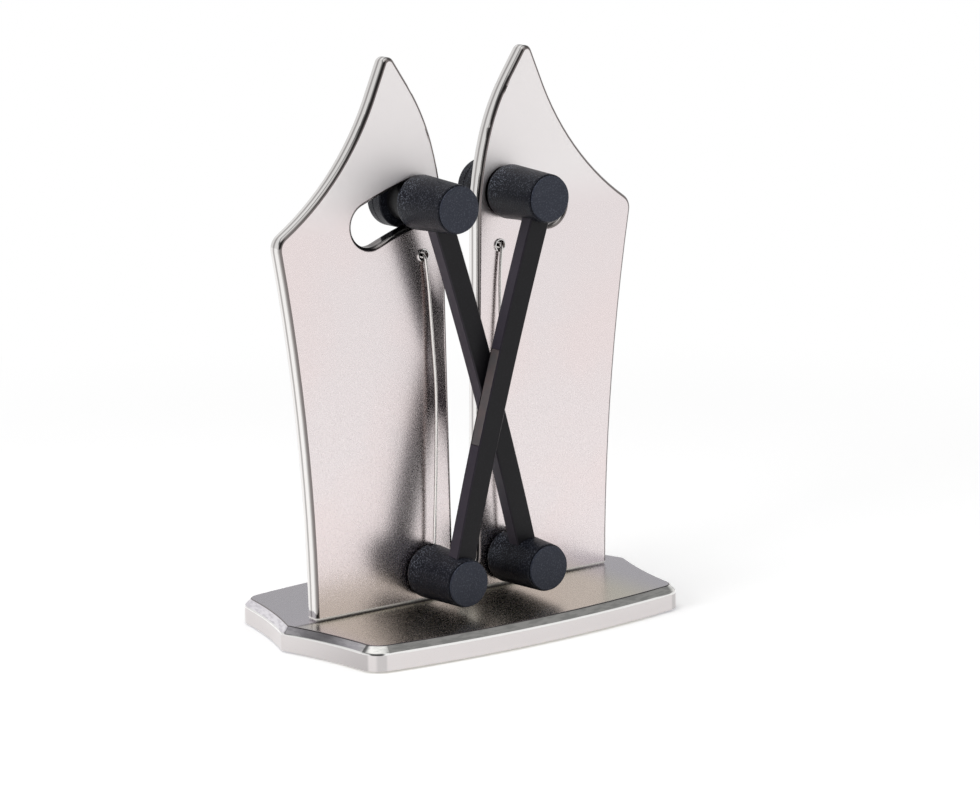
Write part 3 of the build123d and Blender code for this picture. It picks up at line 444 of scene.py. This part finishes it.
# %% Grained plastic
PAINTED_SPECK_HIGHLIGHT = (0.150, 0.165, 0.200, 1)
SPECK_EDGES = (0.56, 0.64)  # levels of the grain's noise between which a tip gets the painted highlight
SPECK_UPWARD = (-0.4, 0.7)  # how far up a surface looks: from the fewest painted highlight specks to the most
SPECK_LEAST = 0.3  # share of the specks left where it looks down
BAND_LEAST = 0.35  # share of the specks left outside their band
SHEEN_FACING = (0.5, 0.9)  # how far sideways a face looks: from the front's colour to the side's painted lighter colour
GLOSS_SIZE = 9  # size in millimetres of the duller and brighter patches
GLOSS_SPAN = 0.16  # how much roughness a full step of their noise adds
NOISE_MIDDLE = 0.5


def painted_highlight_specks(bench, grain, share, band):
    """A mask of the grain's tips with painted highlight, which may be strongest in a band in front of the
    plate.
    """
    upward = bench.step(bench.normal_part("Z"), *SPECK_UPWARD)
    if band:
        share = share * (BAND_LEAST + bench.band(0 - bench.along("Y"), *band) * (1 - BAND_LEAST))
    return bench.step(grain, *SPECK_EDGES) * (SPECK_LEAST + upward * (1 - SPECK_LEAST)) * share


def grained_plastic(name, color, grain, rough, gloss=0.35, side=None, specks=0.0, band=None):
    """Black plastic. Its grain is a size and a depth in millimetres."""
    bench = Finish(name)
    grain_size, grain_depth = grain
    tips = bench.noise(grain_size, detail=1)
    clouds = bench.noise(GLOSS_SIZE)
    # Painted light: faces that look sideways get a lighter colour
    if side:
        color = bench.mix(bench.step(bench.facing("X"), *SHEEN_FACING), color, side)
    # Painted highlight: light specks on the grain's tips
    color = bench.mix(painted_highlight_specks(bench, tips, specks, band), color, PAINTED_SPECK_HIGHLIGHT)
    relief = bench.bump(tips, grain_depth)
    gloss_map = rough + (clouds - NOISE_MIDDLE) * GLOSS_SPAN
    bench.surface(Base_Color=color, Roughness=gloss_map, Normal=relief, Specular_IOR_Level=gloss)
    return bench.material


print("light tips between noise levels", SPECK_EDGES)

# %% Plastics and rubber
HUB_NAVY = (0.0062, 0.0070, 0.0118, 1)
HUB_HIGHLIGHT_BAND = (3.0, 6.0, 6.0)  # painted highlight band, millimetres in front of the plate's middle: from, to, softness
CAP_SLATE = (0.0230, 0.0270, 0.0420, 1)
BAR_BLACK = (0.0060, 0.0055, 0.0070, 1)
BAR_SIDE_PAINTED_LIGHT = (0.0380, 0.0320, 0.0440, 1)
COVER_BLACK = (0.014, 0.014, 0.015, 1)
NYLON_BLACK = (0.008, 0.008, 0.009, 1)
RUBBER_BLACK = (0.014, 0.014, 0.014, 1)
PLASTICS = {
    "hub_plastic": dict(
        color=HUB_NAVY, grain=(0.40, 0.12), rough=0.42, gloss=0.20, specks=1.0, band=HUB_HIGHLIGHT_BAND
    ),
    "cap_plastic": dict(color=CAP_SLATE, grain=(0.40, 0.08), rough=0.50, gloss=0.30, specks=0.4),
    "bar_plastic": dict(
        color=BAR_BLACK, grain=(0.50, 0.010), rough=0.42, gloss=0.22, side=BAR_SIDE_PAINTED_LIGHT, specks=0.04
    ),
    "cover_plastic": dict(color=COVER_BLACK, grain=(0.50, 0.04), rough=0.55),
    "nylon": dict(color=NYLON_BLACK, grain=(0.80, 0.01), rough=0.40),
    "pad_rubber": dict(color=RUBBER_BLACK, grain=(0.90, 0.12), rough=0.80, gloss=0.25),
}
finishes = {slot: grained_plastic(slot, **recipe) for slot, recipe in PLASTICS.items()}
print("plastics", list(finishes))

# %% [markdown]
# ## Hard strips, wire and hardware
# The strips are ground hard metal, so their scratches run along the arm. Wire, screws and nuts are
# drawn or turned metal. The scratches are finer than a pixel, so modelling them would show nothing:
# a noise stretched along the cut roughens and tilts the surface as they do, and leaves the edges
# crisp. The springs are painted bright where they face forward and brown on the side by the plate,
# as painted highlight and painted shade, and the strips get a painted highlight along their edges.

# %% Turned metal
PATCH_SIZE = 6  # size in millimetres of the darker patches
PATCH_EDGES = (0.35, 0.7)
PATCH_DARKER = 0.72
TURNED_RELIEF = (0.006, 0.5)  # depth in millimetres, and strength
TURNED_ROUGH = 0.14  # what the scratches add to the roughness
ACROSS = (1, 6, 1)  # scratches that run from front to back, as the bolts do
TURNED = {
    "zinc_steel": dict(color=(0.62, 0.62, 0.64, 1), rough=0.25, scratch_size=0.20, stretch=ACROSS),
    "polished_nickel": dict(color=(0.80, 0.78, 0.77, 1), rough=0.06, scratch_size=0.30, stretch=EVEN),
    "bronze": dict(color=(0.55, 0.38, 0.20, 1), rough=0.30, scratch_size=0.20, stretch=ACROSS),
}


def turned_metal(name, color, rough, scratch_size, stretch):
    """Metal with fine scratches and slightly darker patches."""
    bench = Finish(name)
    scratches = bench.noise(scratch_size, detail=3, stretch=stretch)
    clouds = bench.noise(PATCH_SIZE)
    darker = tuple(v * PATCH_DARKER for v in color[:3]) + (1,)
    shade = bench.mix(bench.step(clouds, *PATCH_EDGES), color, darker)
    relief = bench.bump(scratches, *TURNED_RELIEF)
    scratched = rough + scratches * TURNED_ROUGH
    bench.surface(Base_Color=shade, Metallic=PURE_METAL, Roughness=scratched, Normal=relief)
    return bench.material


finishes.update({slot: turned_metal(slot, **recipe) for slot, recipe in TURNED.items()})
print("turned metals", list(TURNED))

# %% Ground strip
STRIP_BROWN = (0.175, 0.145, 0.145, 1)
STRIP_GREY = (0.145, 0.136, 0.140, 1)
STRIP_PATCH_SIZE = 3
STRIP_PATCH_EDGES = (0.35, 0.65)
STRIP_EDGE_HIGHLIGHT = (0.46, 0.43, 0.43, 1)
STRIP_EDGE_FACING = (0.62, 0.76, 0.08)  # faces that look half sideways, at the edges, get the painted highlight
STRIP_EDGE_STRENGTH = 0.8
STRIP_SCRATCH = 0.14
STRIP_STRETCH = (1, 1, 40)
STRIP_RELIEF = (0.008, 0.6)  # depth in millimetres, and strength
STRIP_METAL = 0.55
STRIP_ROUGH = (0.40, 0.2)  # roughness, and what the scratches add


def ground_strip(name):
    """Brown-grey hard metal, ground along its length, with a painted highlight along its edges."""
    bench = Finish(name)
    scratches = bench.noise(STRIP_SCRATCH, detail=3, stretch=STRIP_STRETCH)
    clouds = bench.noise(STRIP_PATCH_SIZE, detail=3)
    body = bench.mix(bench.step(clouds, *STRIP_PATCH_EDGES), STRIP_BROWN, STRIP_GREY)
    # Painted highlight along the strip's edges
    edge = bench.band(bench.facing("X"), *STRIP_EDGE_FACING)
    color = bench.mix(edge * STRIP_EDGE_STRENGTH, body, STRIP_EDGE_HIGHLIGHT)
    relief = bench.bump(scratches, *STRIP_RELIEF)
    rough = STRIP_ROUGH[0] + scratches * STRIP_ROUGH[1]
    bench.surface(Base_Color=color, Metallic=STRIP_METAL, Roughness=rough, Normal=relief)
    return bench.material


finishes["carbide"] = ground_strip("carbide")
print("strip scratches", STRIP_SCRATCH, "mm wide")

# %% Spring wire
WIRE_PAINTED_SHADE = (0.115, 0.085, 0.075, 1)
WIRE_PAINTED_HIGHLIGHT = (0.80, 0.77, 0.75, 1)
WIRE_DRAWN = 0.10
WIRE_STRETCH = (1, 1, 20)
WIRE_FRONT = (-0.45, 0.05)  # how far back the surface looks: from painted highlight to brown painted shade
WIRE_RAGGED = 0.3
WIRE_RELIEF = (0.004, 0.5)
WIRE_ROUGH = (0.16, 0.12)  # roughness, and what the drawing marks add


def drawn_wire(name):
    """Spring wire: a painted highlight where it faces forward, and brown painted shade by the plate."""
    bench = Finish(name)
    draw = bench.noise(WIRE_DRAWN, detail=3, stretch=WIRE_STRETCH)
    ragged = bench.normal_part("Y") + (draw - NOISE_MIDDLE) * WIRE_RAGGED
    # Painted light: bright where the wire faces forward, brown shade on the side by the plate
    worn = 1 - bench.step(ragged, *WIRE_FRONT)
    color = bench.mix(worn, WIRE_PAINTED_SHADE, WIRE_PAINTED_HIGHLIGHT)
    relief = bench.bump(draw, *WIRE_RELIEF)
    rough = WIRE_ROUGH[0] + draw * WIRE_ROUGH[1]
    bench.surface(Base_Color=color, Metallic=PURE_METAL, Roughness=rough, Normal=relief)
    return bench.material


finishes["spring_steel"] = drawn_wire("spring_steel")
print("wire marks", WIRE_DRAWN, "mm wide")

# %% [markdown]
# ## Assign the finishes
# On the real thing one material serves many pieces: the four hubs are the same black plastic. Each
# piece could be given its material by name. The record already names a material slot for each piece,
# so a finish is made once and looked up by that slot. Only the plate and the base have finishes of
# their own, because their marks lie at their own places.

# %% Dress every piece
own_finishes = {"face_plate": plate_nickel, "base_shell": base_nickel}


def dress(piece, material):
    """Give a piece one finish in place of what it came with."""
    piece.data.materials.clear()
    piece.data.materials.append(material)


for entry in frame["record"]["subparts"]:
    node = entry["node"]
    dress(frame["nodes"][node], own_finishes.get(node) or finishes[entry["material_slot"]])

# %% [markdown]
# ## Floor and backdrop
# A product shot on white has no horizon. A curved paper sweep gives that in a studio, but its rise
# would stand in the way of other views. Here a large level floor does it: it is pale paper near the
# object, where it takes the shadow, and further out it turns into plain white for the camera and
# for mirrors, while it lights the object as paper everywhere.

# %% A level card, and rays that see
FLOOR_HALF = 6.0  # metres
FLOOR_DROP = 0.1 * MM  # keeps the floor clear of the rubber foot's face
SEEING_RAYS = ("Camera", "Glossy", "Transmission")


def flat_card(name, half, material):
    """A level square round the origin, of one face."""
    mesh = bpy.data.meshes.new(name)
    corners = [(-half, -half, 0), (half, -half, 0), (half, half, 0), (-half, half, 0)]
    mesh.from_pydata(corners, [], [(0, 1, 2, 3)])
    mesh.materials.append(material)
    card = bpy.data.objects.new(name, mesh)
    bpy.context.scene.collection.objects.link(card)
    return card


def seen_rays(bench):
    """1 for camera, glossy and transmission rays, and 0 for the rays that light things."""
    rays = [bench.node("ShaderNodeLightPath", {}, {}, out=f"Is {kind} Ray") for kind in SEEING_RAYS]
    return bench.maths("ADD", rays[0] + rays[1], rays[2], clamp=True)


print("floor is", 2 * FLOOR_HALF, "m across")

# %% Floor
FLOOR_COLOR = (0.92, 0.92, 0.92, 1)
FLOOR_GLOW = 0.27
BACKDROP_AWAY = (170, 420)  # millimetres from the origin over which paper turns into backdrop
PAPER_WHITE = 1.0


def make_floor():
    """Paper that takes the shadow near the object, and turns into a white backdrop."""
    bench = Finish("floor_white")
    away = bench.vector_maths("LENGTH", {0: bench.place()}, out="Value")
    backdrop = bench.step(away, *BACKDROP_AWAY) * seen_rays(bench)
    paper = bench.node("ShaderNodeBsdfDiffuse", {}, {"Color": FLOOR_COLOR})
    glow = bench.node("ShaderNodeEmission", {}, {"Strength": seen_rays(bench) * FLOOR_GLOW})
    lit = bench.node("ShaderNodeAddShader", {}, {0: paper, 1: glow})
    white = bench.node("ShaderNodeEmission", {}, {"Strength": PAPER_WHITE})
    shader = bench.node("ShaderNodeMixShader", {}, {0: backdrop, 1: lit, 2: white})
    bench.node("ShaderNodeOutputMaterial", {}, {"Surface": shader})
    floor = flat_card("floor", FLOOR_HALF, bench.material)
    floor.location.z = -FLOOR_DROP


make_floor()
print("paper up to", BACKDROP_AWAY[0], "mm, backdrop from", BACKDROP_AWAY[1], "mm")

# %% [markdown]
# ## The room that the metal mirrors
# Polished metal has no look of its own: it shows the room. Cards round the object could make one,
# but each would have to be hidden from the camera and from the light. So the room is painted on the
# world. Camera rays get plain white and lighting rays an even level, but mirror rays get a white
# horizon, a dim ceiling and a few large soft patches. Each patch is a direction and two angles, and
# it stands where one part of the object mirrors it to the camera, which the rows name.

# %% The painted room
CEILING_LEVEL = 0.17
HORIZON_CLIMB = (0.26, 0.64)  # how steeply a direction climbs: from white horizon to dim ceiling
# Each row: direction, angle of the patch's core and of its soft rim in degrees, level
ROOM_PATCHES = (
    ((0.20, -0.80, 0.55), 20, 62, 1.10),  # edges that look forward
    ((0.05, 0.88, 0.45), 13, 24, 1.05),  # the base's left bevel
    ((-0.48, 0.80, 0.36), 12, 24, 0.95),  # the lip below the left bevel
    ((0.60, 0.77, 0.16), 13, 30, 0.71),  # the base's level top
    ((0.575, -0.207, 0.79), 14, 30, 0.35),  # the front bevel
    ((-0.652, -0.603, 0.447), 24, 40, 0.10),  # the lip at the front left corner, which shows dark
    ((-0.255, -0.039, 0.966), 18, 40, 1.35),  # the bevel at the front left corner
)


def room_level(bench):
    """Level of the room for mirror rays, by direction."""
    way = bench.node("ShaderNodeTexCoord", {}, {}, out="Generated")
    height = bench.node("ShaderNodeSeparateXYZ", {}, {0: way}, out="Z")
    level = 1 - bench.step(height, *HORIZON_CLIMB) * (1 - CEILING_LEVEL)
    for direction, core, rim, patch_level in ROOM_PATCHES:
        toward = tuple(Vector(direction).normalized())
        near = bench.vector_maths("DOT_PRODUCT", {0: way, 1: toward}, out="Value")
        mask = bench.step(near, math.cos(math.radians(rim)), math.cos(math.radians(core)))
        level = level + (patch_level - level) * mask
    return level


print("patches in the room", len(ROOM_PATCHES))

# %% World
WORLD_LEVEL = 0.55


def make_world():
    """White for the camera, an even level for the light, and the painted room for mirrors."""
    world = bpy.data.worlds.new("studio")
    world.use_nodes = True
    bench = Bench(world.node_tree)
    mirror = bench.node("ShaderNodeLightPath", {}, {}, out="Is Glossy Ray")
    plain = WORLD_LEVEL + seen_rays(bench) * (1 - WORLD_LEVEL)
    strength = plain + (room_level(bench) - plain) * mirror
    glow = bench.node("ShaderNodeBackground", {}, {"Strength": strength})
    bench.node("ShaderNodeOutputWorld", {}, {"Surface": glow})
    bpy.context.scene.world = world


make_world()
print("world nodes", len(bpy.context.scene.world.node_tree.nodes))

# %% [markdown]
# ## Lamps
# A product studio uses large soft boxes: a key from the left, a weaker fill from the right, and one
# above. Small lamps or a sun would give hard shadows that the picture doesn't have. Mirrors don't
# see these lamps, because the painted room already holds every highlight.

# %% Three soft boxes
AIM = Vector((0, 0, 75)) * MM
# Each row: name, place in millimetres, side of the square lamp in millimetres, watts
SOFT_BOXES = (
    ("key_light", (-880, -120, 420), 420, 2.8),
    ("fill_light", (760, -520, 420), 500, 1.6),
    ("top_light", (-230, -35, 870), 460, 2.4),
)


def soft_box(name, place, side, watts):
    """A square lamp that faces the middle of the object."""
    lamp = bpy.data.lights.new(name, "AREA")
    lamp.size = side * MM
    lamp.energy = watts
    box = bpy.data.objects.new(name, lamp)
    box.location = Vector(place) * MM
    box.rotation_euler = (AIM - box.location).to_track_quat("-Z", "Y").to_euler()
    box.visible_glossy = False
    bpy.context.scene.collection.objects.link(box)


for row in SOFT_BOXES:
    soft_box(*row)

# %% [markdown]
# ## Colour view
# Colours are shown as they are written, with no film curve.

# %% Finish
bpy.context.scene.view_settings.view_transform = "Standard"
bpy.context.view_layer.update()
